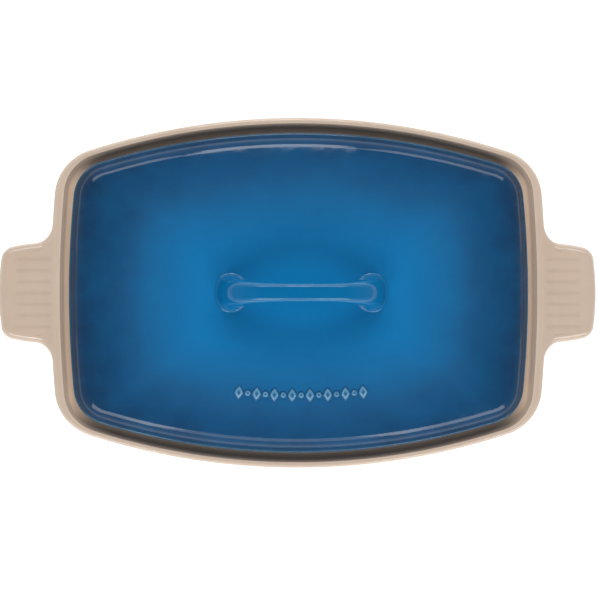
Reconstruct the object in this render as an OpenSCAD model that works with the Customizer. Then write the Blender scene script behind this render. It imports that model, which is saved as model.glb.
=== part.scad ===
// Covered rectangular stoneware baking dish: a bulge-sided dish with two fluted lug handles and a
// gallery that the hipped, domed lid sits in. The origin is under the middle of the foot, +X runs
// from lug to lug and +Z is up. Millimetres.

/* [Dish] */
// Length of the rim, without the lugs
rim_l = 310.4; // [300:0.1:320]
// Width of the rim
rim_w = 219; // [212:0.5:226]
// Height of the rim above the table
rim_h = 76; // [70:1:86]
// Radius of the rim's bulge along the front and back
front_arc_r = 425; // [380:5:600]
// Radius of the rim's bulge along the two ends
end_arc_r = 732; // [600:5:1000]
// Radius of the rim's corners
corner_r = 31; // [28:1:36]
// Thickness of the rim along the two ends
rim_end_t = 6.6; // [6:0.1:7.5]
// Thickness of the rim along the front and back
rim_front_t = 4.4; // [4.2:0.1:5]
// Depth of the gallery below the rim
gallery_depth = 6; // [5:0.5:8]
// Width of the gallery's ledge
gallery_w = 11.4; // [10:0.1:12]
// Thickness of the floor
floor_t = 6.5; // [5:0.5:8]

/* [Foot] */
// Height of the unglazed foot ring
foot_h = 3; // [2:0.5:4]
// Width of the foot ring
foot_w = 7; // [5:0.5:9]

/* [Lugs] */
// How far a lug stands out of the rim
lug_reach = 32.3; // [28:0.1:36]
// Width of a lug where it leaves the dish, without its root fillets
lug_w = 63; // [58:1:68]
// Thickness of a lug
lug_t = 13.6; // [12:0.2:15]
// How far the top of a lug lies below the rim
lug_drop = 1.4; // [1:0.1:2]
// Flutes across the top of each lug
flute_count = 7; // [5:1:7]
// Distance between neighbouring flutes
flute_pitch = 7; // [6.5:0.1:7.2]
// Depth of a flute
flute_depth = 0.7; // [0.4:0.1:1]

/* [Lid] */
// Length of the lid
lid_l = 287.6; // [285:0.1:289]
// Width of the lid
lid_w = 200; // [198:0.5:201.5]
// Thickness of the lid
lid_t = 7; // [6:0.5:8]
// Rise of the crown above the gallery
crown_rise = 29.5; // [28:0.5:32]
// Clearance between the lid and the gallery
seat_gap = 0.3; // [0.3:0.1:0.5]

/* [Loop handle] */
// Length of the loop over its two legs
loop_l = 108; // [100:1:116]
// Height of the loop above the crown
loop_h = 31.5; // [29:0.5:36]
// Width of the bar
bar_w = 11; // [10:0.5:13]
// Thickness of the bar
bar_t = 10; // [9:0.5:12]
// Length of the finger gap between the legs
finger_l = 70; // [64:1:76]

/* [Ornament] */
// Lozenges in the raised row, with a bead between each two
lozenge_count = 8; // [4:1:9]
// Distance between neighbouring lozenges
lozenge_pitch = 11; // [10.8:0.1:11.6]
// Height of the relief above the glaze
relief_h = 1.5; // [0.8:0.1:1.6]

/* [Hidden] */

SAND = [0.78, 0.69, 0.62];
CLAY = [0.83, 0.76, 0.66];
BLUE = [0.07, 0.36, 0.60];

// Points along each stretch of a quarter outline
END_STEPS = 4;
CORNER_STEPS = 6;
FRONT_STEPS = 5;

// Dish, as insets from the rim's outline and heights
inner_corner_r = 18;
rim_outer_r = 2;
rim_inner_r = 0.9;
collar_r = 5;
collar_z = rim_h - 9.5;
collar_tilt = 27;
cove_r = 8;
cove_inset = 10;
cove_run = cove_inset - (cove_r + collar_r) * (1 - sin(collar_tilt));
cove_z = collar_z - (cove_r + collar_r) * cos(collar_tilt) - cove_run * tan(collar_tilt);
heel_r = 11;
heel_inset = 13.5;
ledge_z = rim_h - gallery_depth;
gallery_draft = 1;
gallery_fillet_r = 1.5;
ledge_edge_r = 1.5;
wall_draft = 4;
floor_z = foot_h + floor_t;
floor_fillet_r = 16;
foot_inset = 27;

// Lugs
lug_side_r = 110;
lug_tip_r = 156;
lug_corner_r = 9;
lug_edge_r = 5;
lug_root_r = 12;
lug_bury = 8;
lug_top_z = rim_h - lug_drop;
flute_r = 2;
flute_root_gap = 2;
flute_tip_gap = 9.5;

// Lid, as insets from the lid's outline and heights
lid_front_arc_r = 424;
lid_end_arc_r = 622;
lid_corner_r = 23.7;
seat_z = ledge_z + seat_gap;
lid_edge_r = 1.2;
lid_edge_h = 5.4;
shoulder_r = 11;
shoulder_inset = 2.8;
shoulder_z = seat_z + 8.7;
shoulder_from = 25;
shoulder_to = 72;
crown_z = ledge_z + crown_rise;
slope_inset = shoulder_inset + shoulder_r * (cos(shoulder_from) - cos(shoulder_to));
slope_z = shoulder_z + shoulder_r * (sin(shoulder_to) - sin(shoulder_from));
plateau_inset = 46;
rib_inset = 8.6;
rib_w = 5;
rib_h = 5;
rib_chamfer = 0.7;
skirt_inset = 15;
skirt_z = seat_z + 3;
inner_slope_inset = 20;
CROWN_SCALES = [0.8, 0.6, 0.4, 0.2, 0.06];

// Loop handle
LOOP_STEPS = 20;
BAR_STEPS = 16;
loop_power = 2.1;
bar_power = 3.4;
leg_w = 15;
leg_flare_w = 26;
leg_bury = 6;

// Ornament row
ornament_inset = 36.6;
lozenge_l = 6.4;
lozenge_w = 9.6;
bead_r = 2.3;
relief_root = 3;
row_r = lid_front_arc_r - ornament_inset;

function mix(from, to, t) = from + (to - from) * t;

// Points of an arc about c, without its last point
function arc(c, r, from, to, steps) =
    [for (i = [0 : steps - 1]) c + r * [cos(mix(from, to, i / steps)), sin(mix(from, to, i / steps))]];

// Centre of the corner arc that is tangent to the end arc and to the front arc
function corner_centre(a, b, front_r, end_r, r) =
    let (p = [a - end_r, 0])
    let (q = [0, b - front_r])
    let (d = norm(q - p))
    let (u = (q - p) / d)
    let (m = ((end_r - r) ^ 2 - (front_r - r) ^ 2 + d ^ 2) / (2 * d))
    let (h = sqrt((end_r - r) ^ 2 - m ^ 2))
    p + m * u + h * [-u.y, u.x];

// Quarter of a bulge-sided rectangle with half-length a and half-width b, from +X round to +Y
function quarter(a, b, front_r, end_r, r) =
    let (c = corner_centre(a, b, front_r, end_r, r))
    let (t1 = atan2(c.y, c.x - a + end_r))
    let (t2 = atan2(c.y - b + front_r, c.x))
    concat(
        arc([a - end_r, 0], end_r, 0, t1, END_STEPS),
        arc(c, r, t1, t2, CORNER_STEPS),
        arc([0, b - front_r], front_r, t2, 90, FRONT_STEPS),
        [[0, b]]
    );

// The whole outline, anticlockwise from +X
function outline(a, b, front_r, end_r, r) =
    let (q = quarter(a, b, front_r, end_r, r))
    let (n = len(q) - 1)
    concat(
        [for (i = [0 : n - 1]) q[i]],
        [for (i = [n : -1 : 1]) [-q[i].x, q[i].y]],
        [for (i = [0 : n - 1]) -q[i]],
        [for (i = [n : -1 : 1]) [q[i].x, -q[i].y]]
    );

function raised(points, z) = [for (p = points) [p.x, p.y, z]];

// Profile points [inset, z] on an arc: 0 degrees points out of the wall and 90 degrees points up
function bend(inset, z, r, from, to, steps) =
    [for (i = [0 : steps]) [inset - r * cos(mix(from, to, i / steps)), z + r * sin(mix(from, to, i / steps))]];

// Outline of the dish, inset along its ends and along its front and back
function dish_outline(end_inset, front_inset) =
    let (mean = (end_inset + front_inset) / 2)
    outline(
        rim_l / 2 - end_inset,
        rim_w / 2 - front_inset,
        front_arc_r - front_inset,
        end_arc_r - end_inset,
        max(corner_r - mean, inner_corner_r)
    );

function outer_ring(p) = raised(dish_outline(p[0], p[0]), p[1]);
function inner_ring(p) = raised(dish_outline(rim_end_t + p[0], rim_front_t + p[0]), p[1]);

HEEL = bend(heel_inset + heel_r, foot_h + heel_r, heel_r, -90, -4, 4);
COLLAR = concat(
    bend(cove_inset - cove_r, cove_z, cove_r, 180, 90 + collar_tilt, 3),
    bend(collar_r, collar_z, collar_r, collar_tilt - 90, 0, 3),
    bend(rim_outer_r, rim_h - rim_outer_r, rim_outer_r, 0, 90, 3)
);
INSIDE = concat(
    bend(-rim_inner_r, rim_h - rim_inner_r, -rim_inner_r, -90, -180, 2),
    bend(gallery_draft + gallery_fillet_r, ledge_z + gallery_fillet_r, gallery_fillet_r, 0, -90, 2),
    bend(gallery_w - ledge_edge_r, ledge_z - ledge_edge_r, -ledge_edge_r, -90, -180, 2),
    bend(gallery_w + wall_draft + floor_fillet_r, floor_z + floor_fillet_r, floor_fillet_r, 0, -90, 5)
);

// Outline of the lid, inset all round
function lid_outline(inset) =
    outline(
        lid_l / 2 - inset,
        lid_w / 2 - inset,
        lid_front_arc_r - inset,
        lid_end_arc_r - inset,
        max(lid_corner_r - inset, inner_corner_r)
    );

function lid_ring(p) = raised(lid_outline(p[0]), p[1]);

// Height of the dome's outer face at an inset from the lid's edge
function dome_z(inset) =
    crown_z - (crown_z - slope_z) * (1 - (inset - slope_inset) / (lid_w / 2 - slope_inset)) ^ 2;

// Ring over the crown: the plateau's outline scaled down
function crown_ring(scale, drop) =
    raised(scale * lid_outline(plateau_inset), mix(crown_z, dome_z(plateau_inset), scale ^ 2) - drop);

function slope_profile(first, steps, drop) =
    [for (i = [0 : steps]) let (s = mix(first, plateau_inset, i / steps)) [s, dome_z(s) - drop]];

LID_EDGE = concat(
    bend(lid_edge_r, seat_z + lid_edge_r, lid_edge_r, -90, 0, 2),
    bend(lid_edge_r, seat_z + lid_edge_h - lid_edge_r, lid_edge_r, 0, 90, 2)
);
SHOULDER = bend(
    shoulder_inset + shoulder_r * cos(shoulder_from),
    shoulder_z - shoulder_r * sin(shoulder_from),
    shoulder_r, shoulder_from, shoulder_to, 3
);
DOME_RINGS = concat(
    [for (p = concat(LID_EDGE, SHOULDER)) lid_ring(p)],
    [for (p = slope_profile(14, 4, 0)) lid_ring(p)],
    [for (scale = CROWN_SCALES) crown_ring(scale, 0)]
);
RIB = [
    [skirt_inset, skirt_z],
    [rib_inset + rib_w, seat_z - rib_h + rib_chamfer],
    [rib_inset + rib_w - rib_chamfer, seat_z - rib_h],
    [rib_inset + rib_chamfer, seat_z - rib_h],
    [rib_inset, seat_z - rib_h + rib_chamfer],
    [rib_inset, seat_z]
];
CEILING = slope_profile(inner_slope_inset, 4, lid_t);
CEILING_RINGS = concat(
    [for (i = [len(CROWN_SCALES) - 1 : -1 : 0]) crown_ring(CROWN_SCALES[i], lid_t)],
    [for (i = [len(CEILING) - 1 : -1 : 0]) lid_ring(CEILING[i])]
);

// Outline of a lug with its root fillets, inset all round; the first point sees all the others
function lug_outline(inset) =
    let (b = lug_w / 2)
    let (q = quarter(lug_reach - inset, b - inset, lug_side_r - inset, lug_tip_r - inset, lug_corner_r - inset))
    let (tip = [for (i = [0 : END_STEPS + CORNER_STEPS]) q[i] + [rim_l / 2, 0]])
    let (xc = lug_root_r - 1)
    let (yc = b - lug_side_r + sqrt((lug_side_r + lug_root_r) ^ 2 - xc ^ 2))
    let (to = 360 + atan2(b - lug_side_r - yc, -xc))
    let (root = concat(arc([rim_l / 2 + xc, yc], lug_root_r + inset, to, 180, 5), [[rim_l / 2 - 1 - inset, yc]]))
    let (half = concat(tip, root, [[rim_l / 2 - lug_bury, yc]]))
    concat(
        [[rim_l / 2 - lug_bury, 0]],
        [for (i = [len(half) - 1 : -1 : 1]) [half[i].x, -half[i].y]],
        half
    );

LUG_PROFILE = concat(
    bend(lug_edge_r, lug_top_z - lug_t + lug_edge_r, lug_edge_r, -90, 0, 3),
    bend(lug_edge_r, lug_top_z - lug_edge_r, lug_edge_r, 0, 90, 3)
);

// Point of a rounded arch with half-length a and height h, at an angle from +X
function arch(a, h, angle) =
    [a * sign(cos(angle)) * abs(cos(angle)) ^ (2 / loop_power), 0, h * sin(angle) ^ (2 / loop_power)];

// Cross-section of the loop at an angle round the arch
function loop_ring(angle) =
    let (outer = arch(loop_l / 2, loop_h, angle))
    let (inner = arch(finger_l / 2, loop_h - bar_t, angle))
    let (foot = abs(cos(angle)) ^ 4)
    let (half_w = mix(mix(bar_w, leg_w, abs(cos(angle))), leg_flare_w, foot ^ 3) / 2)
    [for (i = [0 : BAR_STEPS - 1])
        let (t = 360 * i / BAR_STEPS)
        let (c = sign(cos(t)) * abs(cos(t)) ^ (2 / bar_power))
        let (s = sign(sin(t)) * abs(sin(t)) ^ (2 / bar_power))
        mix(inner, outer, (1 + c) / 2) + [0, half_w * s, crown_z]
    ];

function lowered(points, depth) = [for (p = points) p - [0, 0, depth]];

// Solid through a list of rings that are anticlockwise seen against the direction of travel, with
// flat ends that fan out from each end ring's first point
module skin(rings) {
    n = len(rings[0]);
    last = (len(rings) - 1) * n;
    sides = [for (k = [0 : len(rings) - 2], i = [0 : n - 1])
        let (a = k * n + i)
        let (b = k * n + (i + 1) % n)
        each [[a, a + n, b + n], [a, b + n, b]]
    ];
    polyhedron(
        points = [for (ring = rings) each ring],
        faces = concat([[for (i = [0 : n - 1]) i]], sides, [[for (i = [0 : n - 1]) last + (n - i) % n]])
    );
}

module dish_bowl() {
    color(SAND)
        skin(concat(
            [for (p = concat(HEEL, COLLAR)) outer_ring(p)],
            [for (p = INSIDE) inner_ring(p)]
        ));
}

module foot_ring() {
    color(CLAY)
        linear_extrude(foot_h)
            difference() {
                polygon(dish_outline(foot_inset, foot_inset));
                polygon(dish_outline(foot_inset + foot_w, foot_inset + foot_w));
            }
}

module flutes() {
    first_x = rim_l / 2 + flute_root_gap;
    last_x = rim_l / 2 + lug_reach - flute_tip_gap;
    for (i = [0 : flute_count - 1])
        translate([first_x, (i - (flute_count - 1) / 2) * flute_pitch, lug_top_z - flute_depth + flute_r])
            rotate([0, 90, 0])
                cylinder(r = flute_r, h = last_x - first_x, $fn = 48);
}

// The lug on the +X end, cut to the wall that it is luted to
module lug() {
    color(SAND)
        difference() {
            skin([for (p = LUG_PROFILE) raised(lug_outline(p[0]), p[1])]);
            skin([for (p = COLLAR) outer_ring(p)]);
            flutes();
        }
}

module right_lug() {
    lug();
}

module left_lug() {
    mirror([1, 0, 0])
        lug();
}

module lid_shell() {
    color(BLUE)
        skin(concat(CEILING_RINGS, [for (p = RIB) lid_ring(p)], DOME_RINGS));
}

module lid_handle() {
    color(BLUE)
        difference() {
            skin(concat(
                [lowered(loop_ring(0), leg_bury)],
                [for (i = [0 : LOOP_STEPS]) loop_ring(180 * i / LOOP_STEPS)],
                [lowered(loop_ring(180), leg_bury)]
            ));
            skin(DOME_RINGS);
        }
}

// Places a child on the front slope of the lid, at an angle along the row, tilted to the slope
module on_front_slope(angle) {
    slope = 2 * (crown_z - slope_z) * (lid_w / 2 - ornament_inset) / (lid_w / 2 - slope_inset) ^ 2;
    translate([0, lid_front_arc_r - lid_w / 2, dome_z(ornament_inset)])
        rotate([0, 0, angle])
            translate([0, -row_r, 0])
                rotate([atan(slope), 0, 0])
                    children();
}

module lozenge() {
    translate([0, 0, -relief_root])
        linear_extrude(relief_root + relief_h)
            polygon([[-lozenge_l / 2, 0], [0, -lozenge_w / 2], [lozenge_l / 2, 0], [0, lozenge_w / 2]]);
}

module bead() {
    translate([0, 0, relief_h - bead_r])
        sphere(r = bead_r, $fn = 32);
}

module lid_ornament() {
    step = lozenge_pitch / row_r * 180 / PI;
    color(BLUE)
        difference() {
            union() {
                for (i = [0 : lozenge_count - 1])
                    on_front_slope((i - (lozenge_count - 1) / 2) * step)
                        lozenge();
                for (i = [0 : lozenge_count - 2])
                    on_front_slope((i - (lozenge_count - 2) / 2) * step)
                        bead();
            }
            skin(DOME_RINGS);
        }
}

dish_bowl();
foot_ring();
left_lug();
right_lug();
lid_shell();
lid_handle();
lid_ornament();
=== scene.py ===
"""Looks of the covered rectangular baking dish: a sand-glazed stoneware dish and a blue-glazed lid."""
import math

import bpy
import numpy as np
from mathutils import Matrix, Vector


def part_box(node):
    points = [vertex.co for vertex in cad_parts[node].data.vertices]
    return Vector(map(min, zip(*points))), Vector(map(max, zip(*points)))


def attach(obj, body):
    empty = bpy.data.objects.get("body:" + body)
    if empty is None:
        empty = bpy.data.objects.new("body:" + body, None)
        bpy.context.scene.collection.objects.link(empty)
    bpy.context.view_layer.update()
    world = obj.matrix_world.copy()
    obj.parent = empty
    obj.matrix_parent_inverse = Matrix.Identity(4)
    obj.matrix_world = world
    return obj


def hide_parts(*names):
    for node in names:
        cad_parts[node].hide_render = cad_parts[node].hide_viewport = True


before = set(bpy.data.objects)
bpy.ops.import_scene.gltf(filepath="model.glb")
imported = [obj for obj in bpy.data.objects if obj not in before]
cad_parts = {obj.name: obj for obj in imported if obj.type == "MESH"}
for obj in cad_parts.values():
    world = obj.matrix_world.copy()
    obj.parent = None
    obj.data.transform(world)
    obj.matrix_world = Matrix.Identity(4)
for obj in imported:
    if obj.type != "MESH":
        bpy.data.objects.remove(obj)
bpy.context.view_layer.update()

MM = 0.001
UP = np.array([0.0, 0.0, 1.0])

# --------------------------------------------------------------------------- sizes, in metres
# The CAD's boxes give the outer sizes. The radii and insets repeat its design, apart from softer edges,
# shallower flutes and fuller handle legs
BOWL_HIGH = np.array(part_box("dish_bowl")[1])
FOOT_HIGH = np.array(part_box("foot_ring")[1])
LUG_LOW, LUG_HIGH = (np.array(v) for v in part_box("right_lug"))
LID_LOW, LID_HIGH = (np.array(v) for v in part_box("lid_shell"))
LOOP_HIGH = np.array(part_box("lid_handle")[1])

# Dish: the rim's outline is four long arcs joined by corner arcs
RIM_A, RIM_B, RIM_Z = BOWL_HIGH
FRONT_R, END_R, CORNER_R, INNER_CORNER_R = 425 * MM, 732 * MM, 31 * MM, 18 * MM
RIM_END_T, RIM_FRONT_T = 6.6 * MM, 4.4 * MM
RIM_OUTER_R, RIM_INNER_R = 2 * MM, 0.9 * MM
LEDGE_Z = RIM_Z - 6 * MM
GALLERY_W, GALLERY_DRAFT, GALLERY_FILLET_R, LEDGE_EDGE_R = 11.4 * MM, 1 * MM, 1.5 * MM, 1.5 * MM
WALL_DRAFT, FLOOR_FILLET_R = 4 * MM, 16 * MM
FLOOR_Z = FOOT_HIGH[2] + 6.5 * MM
COLLAR_R, COLLAR_Z, COLLAR_TILT = 5 * MM, RIM_Z - 9.5 * MM, math.radians(27)
COVE_R, COVE_INSET = 8 * MM, 10 * MM
HEEL_R, HEEL_INSET = 11 * MM, 13.5 * MM
FOOT_INSET, FOOT_W, FOOT_EDGE_R = 27 * MM, 7 * MM, 0.9 * MM
POLE_RINGS = 8

# Lugs
LUG_REACH = LUG_HIGH[0] - RIM_A
LUG_B, LUG_SIDE_R, LUG_TIP_R, LUG_CORNER_R = 31.5 * MM, 110 * MM, 156 * MM, 9 * MM
LUG_EDGE_R, LUG_ROOT_R = 5 * MM, 12 * MM
LUG_TOP_Z, LUG_BOTTOM_Z = LUG_HIGH[2], LUG_LOW[2]
LUG_STRAIGHT_Y = 22.3 * MM
LUG_DIP_RUN = 8 * MM
LUG_UNDER_RUN = 6 * MM
WALL_GAP = 0.05 * MM
FLUTES, FLUTE_PITCH, FLUTE_DEPTH, FLUTE_HALF_W = 7, 7 * MM, 0.35 * MM, 1.1 * MM
FLUTE_RIM_OVERLAP, FLUTE_RIM_FADE = 1.8 * MM, 3.5 * MM
FLUTE_TIP_GAP, FLUTE_TIP_FADE = 9.5 * MM, 2.5 * MM

# Lid
LID_A, LID_B, CROWN_Z = LID_HIGH
LID_FRONT_R, LID_END_R, LID_CORNER_R = 424 * MM, 622 * MM, 23.7 * MM
RIB_Z = LID_LOW[2]
SEAT_Z = RIB_Z + 5 * MM
LID_T = 7 * MM
LID_EDGE_R, LID_EDGE_H = 1.2 * MM, 5.4 * MM
SHOULDER_R, SHOULDER_INSET, SHOULDER_Z = 11 * MM, 2.8 * MM, SEAT_Z + 8.7 * MM
SHOULDER_FROM, SHOULDER_TO = math.radians(25), math.radians(72)
SLOPE_INSET = SHOULDER_INSET + SHOULDER_R * (math.cos(SHOULDER_FROM) - math.cos(SHOULDER_TO))
SLOPE_Z = SHOULDER_Z + SHOULDER_R * (math.sin(SHOULDER_TO) - math.sin(SHOULDER_FROM))
PLATEAU_INSET = 46 * MM
RIB_INSET, RIB_W, RIB_EDGE_R = 8.6 * MM, 5 * MM, 1.2 * MM
RIB_ROOT_W, RIB_ROOT_H = 0.3 * MM, 0.8 * MM
SKIRT_INSET, SKIRT_H, INNER_SLOPE_INSET = 15 * MM, 3 * MM, 20 * MM
SLOPE_FIRST_INSET, UNDER_INSET = 14 * MM, 20 * MM

# Loop handle
LOOP_A = LOOP_HIGH[0]
FINGER_A = 35 * MM
BAR_T, BAR_W, LEG_W = 10 * MM, 11 * MM, 18 * MM
LOOP_POWER, BAR_POWER, LEG_POWER = 2.1, 3.4, 2.2
FOOT_FILLET_R, FOOT_OUTWARD, FOOT_INWARD, FOOT_SIDEWAYS = 6.5 * MM, 0.5, 0.5, 0.6
FOOT_SUNK, FOOT_CAP_DEPTH = 0.02 * MM, 2 * MM

# Ornament row
ROW_INSET = 36.6 * MM
LOZENGES, LOZENGE_PITCH, LOZENGE_L, LOZENGE_W = 8, 11 * MM, 6.4 * MM, 9.6 * MM
LOZENGE_POWER = 1.6
BEAD_A = 2.12 * MM
RELIEF_H, RELIEF_POWER = 1.5 * MM, 4
MOTIF_SUNK, MOTIF_BACK = 0.03 * MM, 0.3 * MM


# --------------------------------------------------------------------------- curves
def smooth(t):
    t = np.clip(t, 0.0, 1.0)
    return t * t * (3 - 2 * t)


def mix(a, b, t):
    return a + (b - a) * t


def unit(v):
    return v / np.maximum(np.linalg.norm(v, axis=-1, keepdims=True), 1e-12)


def circles_meet(p, p_r, q, q_r):
    """The point to the left of p to q that is p_r from p and q_r from q."""
    d = np.linalg.norm(q - p)
    along = (q - p) / d
    m = (p_r**2 - q_r**2 + d**2) / (2 * d)
    return p + m * along + math.sqrt(p_r**2 - m**2) * np.array([-along[1], along[0]])


class Columns:
    """Columns of a mesh round a bulge-sided rectangle, as shares of its end, corner and front arcs."""

    def __init__(self, end, corner, front):
        self.end = np.asarray(end)
        self.corner = np.linspace(0, 1, corner + 1)[:-1]
        self.front = np.linspace(0, 1, front + 1)

    def outline(self, a, b, front_r, end_r, r):
        """Points and outward normals of the whole outline, anticlockwise from +X."""
        p, q = np.array([a - end_r, 0.0]), np.array([0.0, b - front_r])
        c = circles_meet(p, end_r - r, q, front_r - r)
        t1 = math.atan2(*(c - p)[::-1])
        t2 = math.atan2(*(c - q)[::-1])
        shares = [self.end * t1, mix(t1, t2, self.corner), mix(t2, math.pi / 2, self.front)]
        angles = np.concatenate(shares)
        counts = [len(part) for part in shares]
        centres = np.repeat([p, c, q], counts, axis=0)
        radii = np.repeat([end_r, r, front_r], counts)
        normals = np.stack([np.cos(angles), np.sin(angles)], -1)
        return whole(centres + radii[:, None] * normals), whole(normals)


def whole(quarter):
    """A quarter's values from +X to +Y, mirrored into the full turn."""
    flip_x, flip_y = np.array([-1.0, 1.0]), np.array([1.0, -1.0])
    return np.concatenate(
        [quarter[:-1], quarter[:0:-1] * flip_x, quarter[:-1] * flip_x * flip_y, quarter[:0:-1] * flip_y]
    )


def bend(inset, z, r, start, stop, steps):
    """Profile points (inset, z) on an arc: 0 degrees points out of the wall and 90 degrees points up."""
    t = np.radians(np.linspace(start, stop, steps + 1))
    return [(inset - r * math.cos(x), z + r * math.sin(x)) for x in t]


def straight(p, q, steps):
    """Points between two profile points, without the points themselves."""
    return [(mix(p[0], q[0], i / steps), mix(p[1], q[1], i / steps)) for i in range(1, steps)]


def join(*parts):
    """Profile parts in order, with points every few millimetres on the straights between them."""
    out = list(parts[0])
    for part in parts[1:]:
        gap = math.dist(out[-1], part[0])
        out += straight(out[-1], part[0], max(1, round(gap / (4 * MM))))
        out += part
    return out


# --------------------------------------------------------------------------- meshes
def grid_normals(grid, wrap):
    """Outward normals of a grid whose rings run anticlockwise and climb the outside."""
    if wrap:
        du = np.roll(grid, -1, 1) - np.roll(grid, 1, 1)
    else:
        du = np.gradient(grid, axis=1)
    dv = np.gradient(grid, axis=0)
    return unit(np.cross(du, dv))


def grid_faces(rings, columns, wrap, first=0):
    """Quads of a grid, by vertex number."""
    across = columns if wrap else columns - 1
    k, i = np.meshgrid(np.arange(rings - 1), np.arange(across), indexing="ij")
    j = (i + 1) % columns
    a, b = k * columns + i, k * columns + j
    c, d = b + columns, a + columns
    return (np.stack([a, b, c, d], -1).reshape(-1, 4) + first).tolist()


JOIN_WITHIN = 1e-7


def build(name, verts, faces, material, normals=None, marks=None):
    """A smooth mesh object: equal points are joined, empty faces dropped, and normals kept where given."""
    verts = np.asarray(verts, float).reshape(-1, 3)
    keys = np.round(verts / JOIN_WITHIN).astype(np.int64)
    _, first, index = np.unique(keys, axis=0, return_index=True, return_inverse=True)
    index = index.reshape(-1)
    clean = []
    for face in faces:
        loop = [int(index[v]) for v in face]
        loop = [v for n, v in enumerate(loop) if v != loop[n - 1]]
        if len(set(loop)) > 2:
            clean.append(loop)
    mesh = bpy.data.meshes.new(name)
    mesh.from_pydata(verts[first].tolist(), [], clean)
    mesh.validate()
    mesh.shade_smooth()
    for key, values in (marks or {}).items():
        layer = mesh.attributes.new(key, "FLOAT", "POINT")
        layer.data.foreach_set("value", np.asarray(values, np.float32).reshape(-1)[first])
    if normals is not None:
        mesh.normals_split_custom_set_from_vertices(np.asarray(normals).reshape(-1, 3)[first].tolist())
    mesh.materials.append(material)
    obj = bpy.data.objects.new(name, mesh)
    bpy.context.scene.collection.objects.link(obj)
    return obj


def pole(centre, ring, inward):
    """Rings that close a flat end: from the ring in to its centre, or from the centre out to the ring."""
    shares = np.arange(1, POLE_RINGS) / POLE_RINGS
    if inward:
        shares = shares[::-1]
    return np.stack([centre + (ring - centre) * s for s in shares])


# --------------------------------------------------------------------------- dish
END_CENTRE, FRONT_CENTRE = np.array([RIM_A - END_R, 0.0]), np.array([0.0, RIM_B - FRONT_R])
CORNER_CENTRE = circles_meet(END_CENTRE, END_R - CORNER_R, FRONT_CENTRE, FRONT_R - CORNER_R)


def end_share(y):
    """Share of the rim's end arc at which it stands y from the middle."""
    whole_arc = math.atan2(CORNER_CENTRE[1], CORNER_CENTRE[0] - RIM_A + END_R)
    return np.arcsin(np.asarray(y) / END_R) / whole_arc


SIDE_CENTRE = np.array([RIM_A, LUG_B - LUG_SIDE_R])
ROOT_CENTRE = circles_meet(END_CENTRE, END_R + LUG_ROOT_R, SIDE_CENTRE, LUG_SIDE_R + LUG_ROOT_R)
ROOT_Y = (END_CENTRE + END_R * unit(ROOT_CENTRE - END_CENTRE))[1]

# Columns that a lug shares with the rim: even across the flutes, then fanned out round the lug's side
STRAIGHT_COLUMNS, FAN_COLUMNS = 48, 28
FAN_EVEN, FAN_POWER = 0.56, 4.6


def fan_share(u):
    """How far round the lug's side a column ends, for its place u along the rim beside the flutes."""
    return FAN_EVEN * u + (1 - FAN_EVEN) * (1 - (1 - u) ** FAN_POWER)


FAN_FINE = np.linspace(0, 1, 400)
FAN_U = np.interp(np.linspace(0, 1, FAN_COLUMNS + 1), fan_share(FAN_FINE), FAN_FINE)
LUG_YS = np.concatenate(
    [np.linspace(0, LUG_STRAIGHT_Y, STRAIGHT_COLUMNS + 1), mix(LUG_STRAIGHT_Y, ROOT_Y, FAN_U[1:])]
)
BESIDE_LUG = np.linspace(end_share(ROOT_Y), 1, 9)[1:-1]
DISH = Columns(end=np.concatenate([end_share(LUG_YS), BESIDE_LUG]), corner=14, front=26)
LUG_SIDE_COLUMNS = len(LUG_YS) - 1


def dish_outline(end_inset, front_inset):
    mean = (end_inset + front_inset) / 2
    return DISH.outline(
        RIM_A - end_inset,
        RIM_B - front_inset,
        FRONT_R - front_inset,
        END_R - end_inset,
        max(CORNER_R - mean, INNER_CORNER_R),
    )


def raised(points, z):
    z = np.broadcast_to(np.asarray(z, float), points.shape[:-1])
    return np.concatenate([points, z[..., None]], -1)


def dish_ring(p):
    """Ring at a profile point (inset, z) or (end inset, front inset, z)."""
    end_inset, front_inset = (p[0], p[0]) if len(p) == 2 else p[:2]
    return raised(dish_outline(end_inset, front_inset)[0], p[-1])


# The cove turns COVE_STEPS times COVE_STEP degrees; the lugs are luted on from its seam step up to the crest
COVE_STEP, COVE_STEPS, SEAM_STEPS = 7, 9, 7
COVE_RUN = COVE_INSET - (COVE_R + COLLAR_R) * (1 - math.sin(COLLAR_TILT))
COVE_Z = COLLAR_Z - (COVE_R + COLLAR_R) * math.cos(COLLAR_TILT) - COVE_RUN * math.tan(COLLAR_TILT)
ROUND_STEPS = 8

HEEL = bend(HEEL_INSET + HEEL_R, FOOT_HIGH[2] + HEEL_R, HEEL_R, -90, -4, 10)
COVE = bend(COVE_INSET - COVE_R, COVE_Z, COVE_R, 180, 180 - COVE_STEP * COVE_STEPS, COVE_STEPS)
COLLAR = bend(COLLAR_R, COLLAR_Z, COLLAR_R, math.degrees(COLLAR_TILT) - 90, 0, ROUND_STEPS)
RIM_ROUND = bend(RIM_OUTER_R, RIM_Z - RIM_OUTER_R, RIM_OUTER_R, 0, 90, ROUND_STEPS)
BELOW_COVE = join(HEEL, COVE[:1])[:-1]
UNDER = straight(COVE[-1], COLLAR[0], 3)
UPRIGHT = straight(COLLAR[-1], RIM_ROUND[0], 3)


def inside(part):
    """Profile points measured from the rim's inner edge, with the inset of the ends and of the long sides."""
    return [(RIM_END_T + d, RIM_FRONT_T + d, z) for d, z in part]


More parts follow.
